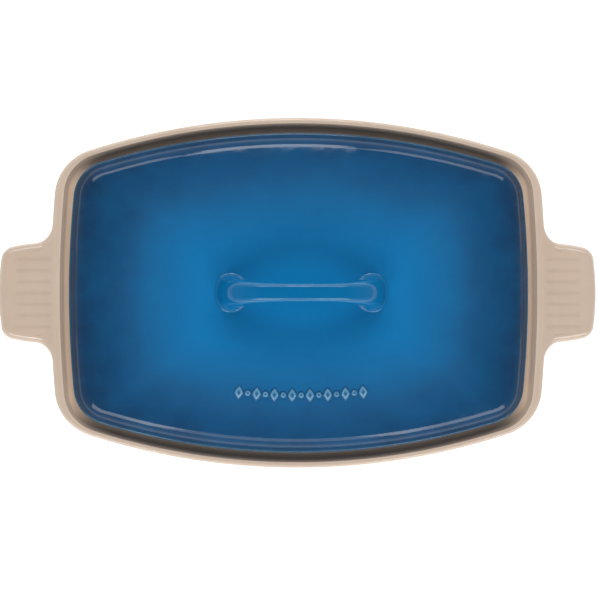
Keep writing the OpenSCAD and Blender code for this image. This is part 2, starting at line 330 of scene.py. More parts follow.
INSIDE = join(
    bend(-RIM_INNER_R, RIM_Z - RIM_INNER_R, -RIM_INNER_R, -90, -180, 6),
    bend(GALLERY_DRAFT + GALLERY_FILLET_R, LEDGE_Z + GALLERY_FILLET_R, GALLERY_FILLET_R, 0, -90, 5),
    bend(GALLERY_W - LEDGE_EDGE_R, LEDGE_Z - LEDGE_EDGE_R, -LEDGE_EDGE_R, -90, -180, 5),
    bend(GALLERY_W + WALL_DRAFT + FLOOR_FILLET_R, FLOOR_Z + FLOOR_FILLET_R, FLOOR_FILLET_R, 0, -90, 10),
)
CREST = [
    (mix(RIM_OUTER_R, RIM_END_T - RIM_INNER_R, s), mix(RIM_OUTER_R, RIM_FRONT_T - RIM_INNER_R, s), RIM_Z)
    for s in (1 / 3, 2 / 3)
]
BOWL_PROFILE = BELOW_COVE + COVE + UNDER + COLLAR + UPRIGHT + RIM_ROUND + CREST + inside(INSIDE)
SEAM_LOW = len(BELOW_COVE) + SEAM_STEPS
COLLAR_FIRST = len(BELOW_COVE + COVE + UNDER)
SEAM_HIGH = COLLAR_FIRST + len(COLLAR + UPRIGHT + RIM_ROUND) - 1


def near(points, targets, reach):
    """1 at the target places along a profile, fading to 0 over reach."""
    d = np.min(np.linalg.norm(points[:, None, :] - np.array(targets)[None], axis=-1), axis=1)
    return np.exp(-((d / reach) ** 2))


# How deep the rounded edges' middles lie in from their corners, and how far the marks reach from them
OUTER_BROW, INNER_BROW, LEDGE_BROW = 0.7 * MM, 0.5 * MM, 0.4 * MM
BROW_REACH, LEDGE_REACH = 1.6 * MM, 1.5 * MM


def dish_marks(rings):
    """Per ring: how thin the glaze has run over the rim's two edges and the ledge's edge."""
    plane = rings[:, 0][:, [0, 2]]
    inner_x = RIM_A - RIM_END_T
    edges = [
        (RIM_A - OUTER_BROW, RIM_Z - OUTER_BROW),
        (inner_x + INNER_BROW, RIM_Z - INNER_BROW),
        (inner_x - GALLERY_W + LEDGE_BROW, LEDGE_Z - LEDGE_BROW),
    ]
    return near(plane, edges, BROW_REACH)


def ledge_painted_light(rings):
    """Painted light on the ledge: 1 at the dish's ends, 0 at its sides and elsewhere."""
    outward = DISH.outline(RIM_A, RIM_B, FRONT_R, END_R, CORNER_R)[1]
    within_rim = rings[:, 0, 0] < RIM_A - RIM_END_T
    on_ledge = near(rings[:, 0][:, [2]], [[LEDGE_Z]], LEDGE_REACH) * within_rim
    return on_ledge[:, None] * outward[None, :, 0] ** 2


def make_bowl(material):
    """The bowl from the middle of its underside, over the rim, to the middle of its floor. Also returns the
    profile's rings and their normals, for the lugs."""
    rings = np.stack([dish_ring(p) for p in BOWL_PROFILE])
    low, high = (np.array([0, 0, rings[k, 0, 2]]) for k in (0, -1))
    below, floor = pole(low, rings[0], inward=False), pole(high, rings[-1], inward=True)
    caps = [np.broadcast_to(point, rings[:1].shape) for point in (low, high)]
    grid = np.concatenate([caps[0], below, rings, floor, caps[1]])
    normals = grid_normals(grid, True)
    start = len(below) + 1
    profile = slice(start, start + len(rings))
    normals[:start] = -UP
    normals[profile.stop :] = UP
    normals[start + SEAM_HIGH] = UP
    thin, ledge = np.zeros(grid.shape[:2]), np.zeros(grid.shape[:2])
    thin[profile] = dish_marks(rings)[:, None]
    # painted light on the ledge at the dish's ends
    ledge[profile] = ledge_painted_light(rings)
    faces = grid_faces(*grid.shape[:2], True)
    bowl = build("dish_bowl_visual", grid, faces, material, normals, {"thin": thin, "ledge": ledge})
    return bowl, rings, normals[profile]


def rounded_inner(inset, z, r):
    """Profile points round an edge that faces the middle and down, from its side to its foot."""
    t = np.linspace(0, math.pi / 2, 5)
    return [(inset - r * (1 - math.cos(x)), z + r * (1 - math.sin(x))) for x in t]


def make_foot(material):
    inner, outer = FOOT_INSET + FOOT_W, FOOT_INSET
    top = FOOT_HIGH[2]
    profile = [(inner, top), (inner, top / 2)]
    profile += rounded_inner(inner, 0.0, FOOT_EDGE_R)
    profile += [(mix(inner, outer, s), 0.0) for s in (0.35, 0.65)]
    profile += bend(outer + FOOT_EDGE_R, FOOT_EDGE_R, FOOT_EDGE_R, -90, 0, 4)
    profile += [(outer, top / 2), (outer, top), (inner, top)]
    grid = np.stack([dish_ring(p) for p in profile])
    return build("foot_ring_visual", grid, grid_faces(*grid.shape[:2], True), material)


# --------------------------------------------------------------------------- lugs
ARC_STEPS = 300


def turn(centre, r, start, stop, sign):
    """Points and normals of an arc; sign -1 makes the normals point at its centre."""
    t = np.linspace(start, stop, ARC_STEPS)
    out = np.stack([np.cos(t), np.sin(t)], -1)
    return centre + r * out, sign * out


def lug_edge():
    """Half of a lug's outline, from its tip to where its root fillet meets the rim: points, normals and
    distances along it."""
    tip_centre = np.array([RIM_A + LUG_REACH - LUG_TIP_R, 0.0])
    corner = circles_meet(tip_centre, LUG_TIP_R - LUG_CORNER_R, SIDE_CENTRE, LUG_SIDE_R - LUG_CORNER_R)

    def angle(frm, to):
        return math.atan2(to[1] - frm[1], to[0] - frm[0])

    t1, t2, t3 = angle(tip_centre, corner), angle(SIDE_CENTRE, corner), angle(SIDE_CENTRE, ROOT_CENTRE)
    t4, t5 = angle(ROOT_CENTRE, SIDE_CENTRE) + 2 * math.pi, angle(ROOT_CENTRE, END_CENTRE) % (2 * math.pi)
    parts = [
        turn(tip_centre, LUG_TIP_R, 0, t1, 1),
        turn(corner, LUG_CORNER_R, t1, t2, 1),
        turn(SIDE_CENTRE, LUG_SIDE_R, t2, t3, 1),
        turn(ROOT_CENTRE, LUG_ROOT_R, t4, t5, -1),
    ]
    points = np.concatenate([p for p, _ in parts])
    normals = np.concatenate([n for _, n in parts])
    s = np.concatenate([[0], np.cumsum(np.linalg.norm(np.diff(points, axis=0), axis=1))])
    return points, normals, s


def lug_columns():
    """Outline points and normals of the lug, one for each of its columns, from -Y to +Y."""
    points, normals, s = lug_edge()
    rising = slice(0, 2 * ARC_STEPS)
    brow_y = (points - LUG_EDGE_R * normals)[rising, 1]
    straight_s = np.interp(LUG_YS[: STRAIGHT_COLUMNS + 1], brow_y, s[rising])
    fan_s = mix(straight_s[-1], s[-1], fan_share(FAN_U[1:]))
    at = np.concatenate([straight_s, fan_s])
    half = np.stack([np.interp(at, s, points[:, k]) for k in (0, 1)], -1)
    half_n = unit(np.stack([np.interp(at, s, normals[:, k]) for k in (0, 1)], -1))
    flip = np.array([1, -1])
    return np.concatenate([half[:0:-1] * flip, half]), np.concatenate([half_n[:0:-1] * flip, half_n])


def flute_dip(x, y):
    """Depth of the flutes across a lug's top."""
    k = np.round(y / FLUTE_PITCH)
    inside_row = np.abs(k) <= FLUTES // 2
    groove = np.exp(-(((y - k * FLUTE_PITCH) / FLUTE_HALF_W) ** 2))
    start = smooth((x - RIM_A + FLUTE_RIM_OVERLAP) / FLUTE_RIM_FADE)
    stop = smooth((RIM_A + LUG_REACH - FLUTE_TIP_GAP - x) / FLUTE_TIP_FADE)
    return FLUTE_DEPTH * groove * inside_row * start * stop


TOP_STEPS, UNDER_STEPS = 48, 10
UNDER_WALL = np.array((COVE[SEAM_STEPS:] + UNDER + COLLAR)[::-1])


def below_wall(ring, gap):
    """A lug's ring, with what would lie inside the dish brought down to a gap below the rim's underside."""
    inset = END_R - np.linalg.norm(ring[:, :2] - END_CENTRE, axis=-1)
    limit = np.interp(inset, UNDER_WALL[:, 0], UNDER_WALL[:, 1]) - gap
    return raised(ring[:, :2], np.where(inset > 0, np.minimum(ring[:, 2], limit), ring[:, 2]))


def make_lug(name, rings, bowl_normals, side, material):
    """A lug on the rim's columns: a skin from the cove round to the crest, closed by the wall behind."""
    index = np.arange(-LUG_SIDE_COLUMNS, LUG_SIDE_COLUMNS + 1) % rings.shape[1]
    wall = rings[SEAM_LOW : SEAM_HIGH + 1, index]
    wall_n = bowl_normals[SEAM_LOW : SEAM_HIGH + 1, index]
    edge, edge_n = lug_columns()
    rim = dish_outline(0, 0)[0][index]
    crest = wall[-1, :, :2]
    seam = wall[0, :, :2]
    reach = np.linalg.norm(edge - rim, axis=-1)
    grown = smooth(reach / LUG_DIP_RUN)[:, None]

    def rim_or_lug(a, b):
        return mix(a, b, grown[:, 0])

    top_r = rim_or_lug(RIM_OUTER_R, LUG_EDGE_R)
    top_z = rim_or_lug(RIM_Z, LUG_TOP_Z)
    low_z = rim_or_lug(COLLAR_Z - COLLAR_R, LUG_BOTTOM_Z)
    stop = rim_or_lug(COLLAR_TILT - math.pi / 2, -math.pi / 2)

    def edge_ring(r, z, t):
        shift = -r + r * np.cos(t)
        return raised(edge + edge_n * np.broadcast_to(shift, (len(edge),))[:, None], z + r * np.sin(t))

    # the under-surface, from the cove out to the lower edge
    under_wall = rings[SEAM_LOW : COLLAR_FIRST + 1, index]
    low_end = edge_ring(COLLAR_R, low_z + COLLAR_R, stop)
    run = np.linalg.norm(low_end[:, :2] - seam, axis=-1)
    blend_run = np.minimum(run, LUG_UNDER_RUN)
    wall_steps = len(under_wall) - 1
    shares = np.concatenate([np.arange(count) / count for count in (wall_steps, UNDER_STEPS)])
    slope = math.tan(math.radians(90 - COVE_STEP * SEAM_STEPS))

    def under_ring(s, wall_ring):
        plan = mix(seam, low_end[:, :2], s)
        t = np.clip(s * run / blend_run, 0, 1)
        hermite = wall[0, 0, 2] * (2 * t**3 - 3 * t**2 + 1) + slope * blend_run * (t**3 - 2 * t**2 + t)
        z = hermite + low_end[:, 2] * (3 * t**2 - 2 * t**3)
        return mix(wall_ring, raised(plan, z), grown)

    def wall_at(s):
        low = min(int(s * wall_steps), wall_steps - 1)
        return mix(under_wall[low], under_wall[low + 1], s * wall_steps - low)

    skin = [under_ring(s, wall_at(s)) for s in sorted(set(np.round(shares, 6)))]
    turns = [mix(stop, 0, s) for s in np.linspace(0, 1, ROUND_STEPS + 1)]
    skin += [edge_ring(COLLAR_R, low_z + COLLAR_R, t) for t in turns]
    skin[1:] = [below_wall(ring, WALL_GAP * (grown[:, 0] > 0)) for ring in skin[1:]]
    side_low, side_high = edge_ring(COLLAR_R, low_z + COLLAR_R, 0), edge_ring(top_r, top_z - top_r, 0)
    skin += [mix(side_low, side_high, s) for s in (1 / 3, 2 / 3)]
    skin += [edge_ring(top_r, top_z - top_r, t) for t in np.linspace(0, math.pi / 2, ROUND_STEPS + 1)]
    brow = skin[-1][:, :2]
    length = np.linalg.norm(brow - crest, axis=-1)
    for s in np.linspace(1, 0, TOP_STEPS + 1)[1:]:
        plan = mix(crest, brow, s)
        fall = smooth(s * np.maximum(length / LUG_DIP_RUN, 1))
        z = RIM_Z - (RIM_Z - top_z) * fall - flute_dip(plan[:, 0], plan[:, 1]) * grown[:, 0] * (s > 0)
        skin.append(raised(plan, z))
    skin = np.stack(skin)
    normals = grid_normals(skin, False)
    normals[0], normals[-1] = wall_n[0], UP
    for column in (0, -1):
        normals[:, column] = end_normals(skin[:, column], wall[:, column], wall_n[:, column])
    thin = edge_marks(skin, edge, top_z)
    pool = flute_dip(skin[..., 0], skin[..., 1]) / FLUTE_DEPTH * grown[:, 0]
    pool[:-TOP_STEPS] = 0

    faces = grid_faces(*skin.shape[:2], False)
    back = grid_faces(*wall.shape[:2], False, first=pool.size)
    faces += [f[::-1] for f in back]
    verts = np.concatenate([skin.reshape(-1, 3), wall.reshape(-1, 3)])
    norms = np.concatenate([normals.reshape(-1, 3), -wall_n.reshape(-1, 3)])
    unmarked = np.zeros(wall[..., 0].size)
    marks = {"thin": np.append(thin, unmarked), "pool": np.append(pool, unmarked)}
    if side < 0:
        verts, norms = verts * [-1, 1, 1], norms * [-1, 1, 1]
        faces = [f[::-1] for f in faces]
    return build(name, verts, faces, material, norms, marks)


def end_normals(skin, wall, wall_n):
    """Normals where a lug runs out into the rim: those of the wall at the same places."""
    nearest = np.argmin(np.linalg.norm(skin[:, None] - wall[None], axis=-1), axis=1)
    return wall_n[nearest]


def edge_marks(skin, edge, top_z):
    """How thin the glaze has run over a lug's upper edge."""
    depth, reach, most = 1.3 * MM, 1.8 * MM, 0.6
    out = np.linalg.norm(skin[..., :2] - edge[None], axis=-1)
    down = np.abs(skin[..., 2] - (top_z - depth)[None])
    return most * np.exp(-((np.hypot(out - depth, down) / reach) ** 2))


# --------------------------------------------------------------------------- lid
LID = Columns(end=np.linspace(0, 1, 13)[:-1], corner=14, front=20)


def lid_outline(inset):
    return LID.outline(
        LID_A - inset,
        LID_B - inset,
        LID_FRONT_R - inset,
        LID_END_R - inset,
        max(LID_CORNER_R - inset, INNER_CORNER_R),
    )[0]


def dome_z(inset):
    return CROWN_Z - (CROWN_Z - SLOPE_Z) * (1 - (inset - SLOPE_INSET) / (LID_B - SLOPE_INSET)) ** 2


PLATEAU = lid_outline(PLATEAU_INSET)
PLATEAU_Z = dome_z(PLATEAU_INSET)


def crown_ring(scale, drop):
    return raised(scale * PLATEAU, mix(CROWN_Z, PLATEAU_Z, scale**2) - drop)


def slope_profile(first, steps, drop):
    return [(s, dome_z(s) - drop) for s in np.linspace(first, PLATEAU_INSET, steps + 1)]


def crown_height(x, y):
    """Height of the dome's outer face inside the plateau's outline."""
    angles = np.unwrap(np.arctan2(PLATEAU[:, 1], PLATEAU[:, 0]))
    radii = np.linalg.norm(PLATEAU, axis=-1)
    angle = np.arctan2(y, x) % (2 * math.pi)
    edge = np.interp(angle, np.append(angles, angles[0] + 2 * math.pi), np.append(radii, radii[0]))
    return mix(CROWN_Z, PLATEAU_Z, (np.hypot(x, y) / edge) ** 2)


def slope_height(x, y):
    """Height of the dome's outer face on its front slope."""
    return dome_z(LID_FRONT_R - np.hypot(x, y - (LID_FRONT_R - LID_B)))


def make_lid(material):
    edge_low = bend(LID_EDGE_R, SEAT_Z + LID_EDGE_R, LID_EDGE_R, -90, 0, 5)
    edge_high = bend(LID_EDGE_R, SEAT_Z + LID_EDGE_H - LID_EDGE_R, LID_EDGE_R, 0, 90, 6)
    shoulder = bend(
        SHOULDER_INSET + SHOULDER_R * math.cos(SHOULDER_FROM),
        SHOULDER_Z - SHOULDER_R * math.sin(SHOULDER_FROM),
        SHOULDER_R,
        math.degrees(SHOULDER_FROM),
        math.degrees(SHOULDER_TO),
        9,
    )
    rib = join(
        [(SKIRT_INSET, SEAT_Z + SKIRT_H)],
        rounded_inner(RIB_INSET + RIB_W, RIB_Z, RIB_EDGE_R),
        bend(RIB_INSET + RIB_EDGE_R, RIB_Z + RIB_EDGE_R, RIB_EDGE_R, -90, 0, 4),
        [(RIB_INSET, SEAT_Z - RIB_ROOT_H), (RIB_INSET - RIB_ROOT_W, SEAT_Z)],
    )
    under = join(slope_profile(INNER_SLOPE_INSET, 10, LID_T)[::-1], rib)
    over = join(edge_low, edge_high, shoulder, slope_profile(SLOPE_FIRST_INSET, 12, 0))
    scales = np.linspace(1, 0, 15)[1:]
    rings = [crown_ring(s, LID_T) for s in scales[::-1]]
    rings += [raised(lid_outline(p[0]), p[1]) for p in under + over]
    rings += [crown_ring(s, 0) for s in scales]
    grid = np.stack(rings)
    normals = grid_normals(grid, True)
    normals[:2], normals[-2:] = -UP, UP
    inset = np.concatenate([
        np.full(len(scales) + len(under), UNDER_INSET),
        [p[0] for p in over],
        PLATEAU_INSET + (1 - scales) * (LID_B - PLATEAU_INSET),
    ])
    faces = grid_faces(*grid.shape[:2], True)
    return build("lid_shell_visual", grid, faces, material, normals, lid_marks(grid, inset))


# How the inset that sets the tone of the blue strays from the true one, up to where the crown is even:
# painted shade on the end slopes and towards the corners, painted light on the long slopes
END_PAINTED_SHADE, CORNER_PAINTED_SHADE, CORNER_PAINTED_SHADE_POWER, SIDE_PAINTED_LIGHT = 0.22, 0.8, 1.2, 5 * MM
TONE_FADE_FROM, TONE_FADE_RUN = 26 * MM, 44 * MM
EDGE_THIN, EDGE_THIN_DEPTH, EDGE_THIN_REACH = 0.4, 0.35 * MM, 0.9 * MM


def lid_marks(grid, inset):
    """How thin the glaze has run over the lid's edge, and the inset that sets the tone of the blue: less than
    the true one on the end slopes and towards the corners, as painted shade, and more on the long slopes, as
    painted light."""
    plane = np.stack([inset, grid[:, 0, 2]], -1)
    edge = (EDGE_THIN_DEPTH, SEAT_Z + LID_EDGE_H - EDGE_THIN_DEPTH)
    thin = near(plane, [edge], EDGE_THIN_REACH) * EDGE_THIN
    out_x, out_y = LID.outline(LID_A, LID_B, LID_FRONT_R, LID_END_R, LID_CORNER_R)[1].T
    cornered = np.abs(grid[..., 0] * grid[..., 1]) / (LID_A * LID_B)
    # painted shade: a darker blue on the end slopes and towards the corners
    darker = END_PAINTED_SHADE * out_x**2 + CORNER_PAINTED_SHADE * cornered**CORNER_PAINTED_SHADE_POWER
    # painted light: a brighter blue on the long slopes
    brighter = SIDE_PAINTED_LIGHT * np.maximum(out_y**2 - out_x**2, 0)
    fade = 1 - smooth((inset - TONE_FADE_FROM) / TONE_FADE_RUN)[:, None]
    tone = inset[:, None] * (1 - fade * darker) + fade * brighter
    return {"inset": tone, "thin": np.repeat(thin[:, None], grid.shape[1], 1)}


# --------------------------------------------------------------------------- loop handle
BAR_POINTS, LOOP_RINGS, FILLET_RINGS = 40, 72, 8
# The bar's section turns rounder towards the legs: from this share of half its length, over this run
ROUNDER_FROM, ROUNDER_RUN = 0.6, 0.35
# The glaze runs thin over the bar's four rounded edges, out to where the legs begin
BAR_THIN, BAR_THIN_FROM, BAR_THIN_RUN, BAR_THIN_FADE = 0.35, 0.7, 0.3, 8 * MM


def power(v, p):
    return np.sign(v) * np.abs(v) ** p


def make_loop(material):
    """The loop: a rounded bar swept over an arch, with fillets that run out on the dome."""
    leg_x = (LOOP_A + FINGER_A) / 2
    base_z = float(crown_height(np.array(leg_x), np.array(0.0)))
    top_h = LOOP_HIGH[2] - base_z
    outer_a, inner_a = LOOP_A - FOOT_OUTWARD * FOOT_FILLET_R, FINGER_A + FOOT_INWARD / 2 * FOOT_FILLET_R
    t = 2 * math.pi * np.arange(BAR_POINTS) / BAR_POINTS
    foot_up, foot_up_in = FOOT_FILLET_R / top_h, FOOT_FILLET_R / (top_h - BAR_T)

    # one row per ring: its angle round the arch, how far its fillet spreads, and its height on a fillet
    turned = np.linspace(math.pi / 2, 0, FILLET_RINGS + 1)[:-1]
    rise, spread = FOOT_FILLET_R * (1 - np.sin(turned)), FOOT_FILLET_R * (1 - np.cos(turned))
    foot_angle, *fillet = np.arcsin((np.append(FOOT_FILLET_R, rise) / top_h) ** (LOOP_POWER / 2))
    arch = np.linspace(foot_angle, math.pi - foot_angle, LOOP_RINGS + 1)
    angles = np.concatenate([fillet, arch, math.pi - np.array(fillet[::-1])])
    spreads = np.concatenate([spread, np.zeros(len(arch)), spread[::-1]])
    heights = np.concatenate([rise, np.full(len(arch), np.nan), rise[::-1]])
    rings = []
    for angle, out, height in zip(angles, spreads, heights):
        cos, sin = math.cos(angle), math.sin(angle)
        along = power(cos, 2 / LOOP_POWER)
        up = max(sin, 0) ** (2 / LOOP_POWER)
        up_in = min(mix(foot_up_in, 1, (up - foot_up) / (1 - foot_up)), 1)
        along_in = math.copysign((1 - up_in**LOOP_POWER) ** (1 / LOOP_POWER), cos)
        outer = np.array([outer_a * along, 0, top_h * up])
        inner = np.array([inner_a * along_in, 0, (top_h - BAR_T) * up_in])
        half_w = mix(BAR_W, LEG_W, abs(along) ** 3) / 2
        roundness = mix(BAR_POWER, LEG_POWER, smooth((abs(along) - ROUNDER_FROM) / ROUNDER_RUN))
        c, s = power(np.cos(t), 2 / roundness), power(np.sin(t), 2 / roundness)
        middle, half = (outer + inner) / 2, (outer - inner) / 2
        reach = np.linalg.norm(half)
        spread_x = np.where(c > 0, FOOT_OUTWARD, FOOT_INWARD)[:, None] * out
        through = c[:, None] * (half * (reach + spread_x) / reach)
        sideways = s[:, None] * np.array([0, half_w + FOOT_SIDEWAYS * out, 0])
        ring = middle + through + sideways
        ring[:, 2] += base_z
        dome = crown_height(ring[:, 0], ring[:, 1])
        if np.isnan(height):
            risen = smooth((ring[:, 2] - base_z - FOOT_FILLET_R) / (2 * FOOT_FILLET_R))
            ring[:, 2] += (dome - base_z) * (1 - risen)
        else:
            ring[:, 2] = dome + height - FOOT_SUNK * (height == 0)
        rings.append(ring)
    grid = np.stack(rings)[:, ::-1]
    corner = np.abs(np.cos(t) * np.sin(t)) * 2
    on_bar = 1 - smooth((np.abs(grid[..., 0]) - FINGER_A) / BAR_THIN_FADE)
    thin = BAR_THIN * smooth((corner - BAR_THIN_FROM) / BAR_THIN_RUN)[::-1] * on_bar
    normals = grid_normals(grid, True)
    ends = [np.broadcast_to(grid[k].mean(0) - FOOT_CAP_DEPTH * UP, grid[:1].shape) for k in (0, -1)]
    verts = np.concatenate([ends[0], grid, ends[1]])
    norms = np.concatenate([-normals[:1], normals, -normals[-1:]])
    thin = np.concatenate([thin[:1], thin, thin[-1:]])
    marks = {"inset": np.full(verts.shape[:2], LID_B), "thin": thin}
    return build("lid_handle_visual", verts, grid_faces(*verts.shape[:2], True), material, norms, marks)


# --------------------------------------------------------------------------- ornament
MOTIF_POINTS, MOTIF_RINGS = 48, 10


def motif(x, y, angle, outline):
    """A raised motif on the front slope: its skin from the dome up, closed by a back just under the glaze.
    Returns its grid and how far up the relief each of its points is."""
    rise = np.linspace(0, 1, MOTIF_RINGS + 1)
    turned = np.array([[math.cos(angle), -math.sin(angle)], [math.sin(angle), math.cos(angle)]])
    rings, lift = [], []
    for r in rise:
        plan = (1 - r) * outline @ turned.T + [x, y]
        up = RELIEF_H * (1 - (1 - r) ** RELIEF_POWER)
        rings.append(raised(plan, slope_height(plan[:, 0], plan[:, 1]) + up - MOTIF_SUNK * (r == 0)))
        lift.append(np.full(len(plan), r))
    back = raised(rings[0][:, :2], rings[0][:, 2] - MOTIF_BACK)
    pin = np.broadcast_to(back.mean(0), back.shape)
    grid = np.stack([pin, back] + rings)
    return grid, np.stack([lift[0], lift[0]] + lift)


def brow_thin_glaze_and_highlight(lift):
    """How thin the glaze has run over a motif's brow, between its foot and its middle, made strong enough to
    stand as a painted highlight.
    """
    most, first, first_run, last, last_run = 1.3, 0.1, 0.3, 0.9, 0.5
    return most * smooth((lift - first) / first_run) * smooth((last - lift) / last_run)


def make_ornament(material):
    t = 2 * math.pi * np.arange(MOTIF_POINTS) / MOTIF_POINTS
    cos, sin = np.cos(t), np.sin(t)
    lozenge = [power(cos, LOZENGE_POWER) * LOZENGE_L / 2, power(sin, LOZENGE_POWER) * LOZENGE_W / 2]
    lozenge, bead = np.stack(lozenge, -1), np.stack([cos, sin], -1) * BEAD_A
    row_r = LID_FRONT_R - ROW_INSET
    step = LOZENGE_PITCH / row_r
    verts, faces, thin, first = [], [], [], 0
    places = [(k - (LOZENGES - 1) / 2, lozenge) for k in range(LOZENGES)]
    places += [(k - (LOZENGES - 2) / 2, bead) for k in range(LOZENGES - 1)]
    for k, outline in places:
        angle = k * step
        x = row_r * math.sin(angle)
        y = LID_FRONT_R - LID_B - row_r * math.cos(angle)
        grid, lift = motif(x, y, angle, outline)
        verts.append(grid.reshape(-1, 3))
        faces += grid_faces(*grid.shape[:2], True, first=first)
        # the brows' pale mark is thin glaze with a painted highlight
        thin.append(brow_thin_glaze_and_highlight(lift).reshape(-1))
        first += lift.size
    verts = np.concatenate(verts)
    marks = {"inset": np.full(len(verts), ROW_INSET), "thin": np.concatenate(thin)}
    return build("lid_ornament_visual", verts, faces, material, marks=marks)


# --------------------------------------------------------------------------- materials
class Shader:
    """A node material, built one node at a time; inputs are values or other nodes' sockets."""

    def __init__(self, name):
        self.material = bpy.data.materials.new(name)
        self.material.use_nodes = True
        self.tree = self.material.node_tree
        self.tree.nodes.clear()
        self.coord = self.add("TexCoord").outputs["Object"]

    def add(self, kind, inputs=None, **settings):
        node = self.tree.nodes.new("ShaderNode" + kind)
        for key, value in settings.items():
            setattr(node, key, value)
        for key, value in (inputs or {}).items():
            if isinstance(value, bpy.types.NodeSocket):
                self.tree.links.new(value, node.inputs[key])
            else:
                node.inputs[key].default_value = value
        return node

    def noise(self, scale, detail=2.0, rough=0.5):
        keys = {"Vector": self.coord, "Scale": scale, "Detail": detail, "Roughness": rough}
        return self.add("TexNoise", keys).outputs[0]

    def mark(self, name):
        return self.add("Attribute", attribute_name=name).outputs["Fac"]

    def span(self, value, low, high, to_low=0.0, to_high=1.0):
        keys = {"Value": value, "From Min": low, "From Max": high, "To Min": to_low, "To Max": to_high}
        return self.add("MapRange", keys).outputs[0]

    def blend(self, share, a, b):
        node = self.add("Mix", data_type="RGBA")
        for socket, value in zip((node.inputs[0], node.inputs[6], node.inputs[7]), (share, a, b)):
            if isinstance(value, bpy.types.NodeSocket):
                self.tree.links.new(value, socket)
            else:
                socket.default_value = value
        return node.outputs[2]

    def times(self, a, b):
        return self.add("Math", {0: a, 1: b}, operation="MULTIPLY").outputs[0]

    def plus(self, a, b):
        return self.add("Math", {0: a, 1: b}, operation="ADD").outputs[0]

    def ramp(self, value, stops):
        """Colours along a value, from stops of place and colour; the first two stops are the ends."""
        node = self.add("ValToRGB", {0: value})
        elements = node.color_ramp.elements
        for place, _ in stops[2:]:
            elements.new(place)
        for element, (place, colour) in zip(elements, sorted(stops)):
            element.position = place
            element.color = colour
        return node.outputs[0]

    def bump(self, height, distance, strength, normal=None):
        keys = {"Height": height, "Distance": distance, "Strength": strength}
        if normal is not None:
            keys["Normal"] = normal
        return self.add("Bump", keys).outputs[0]

    def finish(self, colour, roughness, normal, specular=0.5):
        keys = {
            "Base Color": colour,
            "Roughness": roughness,
            "Normal": normal,
            "IOR": 1.5,
            "Specular IOR Level": specular,
        }
        body = self.add("BsdfPrincipled", keys)
        self.add("OutputMaterial", {0: body.outputs[0]})
        return self.material


def rgba(r, g, b):
    return (r, g, b, 1.0)


def blue_glaze():
    """Glossy blue glaze: dark towards the lid's edge, brighter on the crown, breaking pale on edges; with
    painted shade on the lid's end slopes and corners, painted light on its long slopes, a faint painted
    reflection on its mid slopes and a painted highlight on the ornament's brows.
    """
    m = Shader("blue_glaze")
    # the inset mark also carries painted shade on the lid's end slopes and corners and painted light on its
    # long slopes
    inset = m.plus(m.mark("inset"), m.span(m.noise(26.0, 2.0), 0.3, 0.7, -0.001, 0.001))
    colour = m.ramp(
        m.span(inset, 0.0, 0.1),
        [
            (0.0, rgba(0.009, 0.026, 0.062)),
            (1.0, rgba(0.001, 0.138, 0.342)),
            (0.05, rgba(0.008, 0.036, 0.092)),
            (0.15, rgba(0.007, 0.056, 0.148)),
            # the redder stops at 0.30 and 0.45 are a faint painted reflection of a pale veil on the mid
            # slopes
            (0.30, rgba(0.012, 0.084, 0.208)),
            (0.45, rgba(0.011, 0.126, 0.308)),
            (0.65, rgba(0.007, 0.168, 0.412)),
        ],
    )
    cloud = m.span(m.noise(48.0, 4.0, 0.6), 0.3, 0.7)
    colour = m.blend(m.times(cloud, 0.13), colour, rgba(0.010, 0.210, 0.480))
    streak = m.span(m.noise(150.0, 3.0, 0.6), 0.45, 0.75)
    colour = m.blend(m.times(streak, 0.06), colour, rgba(0.008, 0.080, 0.220))
    thin = m.times(m.mark("thin"), m.span(m.noise(210.0, 3.0), 0.25, 0.6, 0.75, 1.0))
    # pale where the glaze runs thin; on the ornament's brows this is strong enough to be a painted highlight
    colour = m.blend(m.times(thin, 0.85), colour, rgba(0.120, 0.300, 0.450))
    roughness = m.span(m.noise(75.0, 3.0), 0.3, 0.7, 0.03, 0.07)
    waves = m.bump(m.noise(120.0, 1.0), 0.0006, 0.10)
    pits = m.bump(m.noise(1500.0, 2.0), 0.00006, 0.18, waves)
    return m.finish(colour, roughness, pits, specular=0.28)


def sand_glaze():
    """Glossy sand-coloured glaze: softly mottled, darker in the flutes and on specks, paler on edges, with
    painted light on the ledge at the dish's ends.
    """
    m = Shader("sand_glaze")
    cloud = m.span(m.noise(38.0, 4.0, 0.6), 0.3, 0.7)
    colour = m.blend(cloud, rgba(0.560, 0.438, 0.350), rgba(0.600, 0.478, 0.386))
    warm = m.span(m.noise(14.0, 2.0), 0.35, 0.65)
    colour = m.blend(m.times(warm, 0.25), colour, rgba(0.590, 0.440, 0.330))
    thin = m.times(m.mark("thin"), m.span(m.noise(190.0, 3.0), 0.25, 0.6, 0.7, 1.0))
    colour = m.blend(m.times(thin, 0.5), colour, rgba(0.700, 0.580, 0.470))
    colour = m.blend(m.times(m.mark("pool"), 0.16), colour, rgba(0.330, 0.240, 0.175))
    # painted light: the ledge at the dish's ends is painted much paler
    colour = m.blend(m.mark("ledge"), colour, rgba(0.840, 0.630, 0.475))
    specks = m.span(m.noise(1100.0, 1.0), 0.76, 0.82)
    colour = m.blend(m.times(specks, 0.45), colour, rgba(0.270, 0.175, 0.110))
    roughness = m.span(m.noise(85.0, 3.0), 0.3, 0.7, 0.04, 0.09)
    waves = m.bump(m.noise(140.0, 1.0), 0.0005, 0.10)
    pits = m.bump(m.noise(1300.0, 2.0), 0.00006, 0.20, waves)
    return m.finish(colour, roughness, pits)


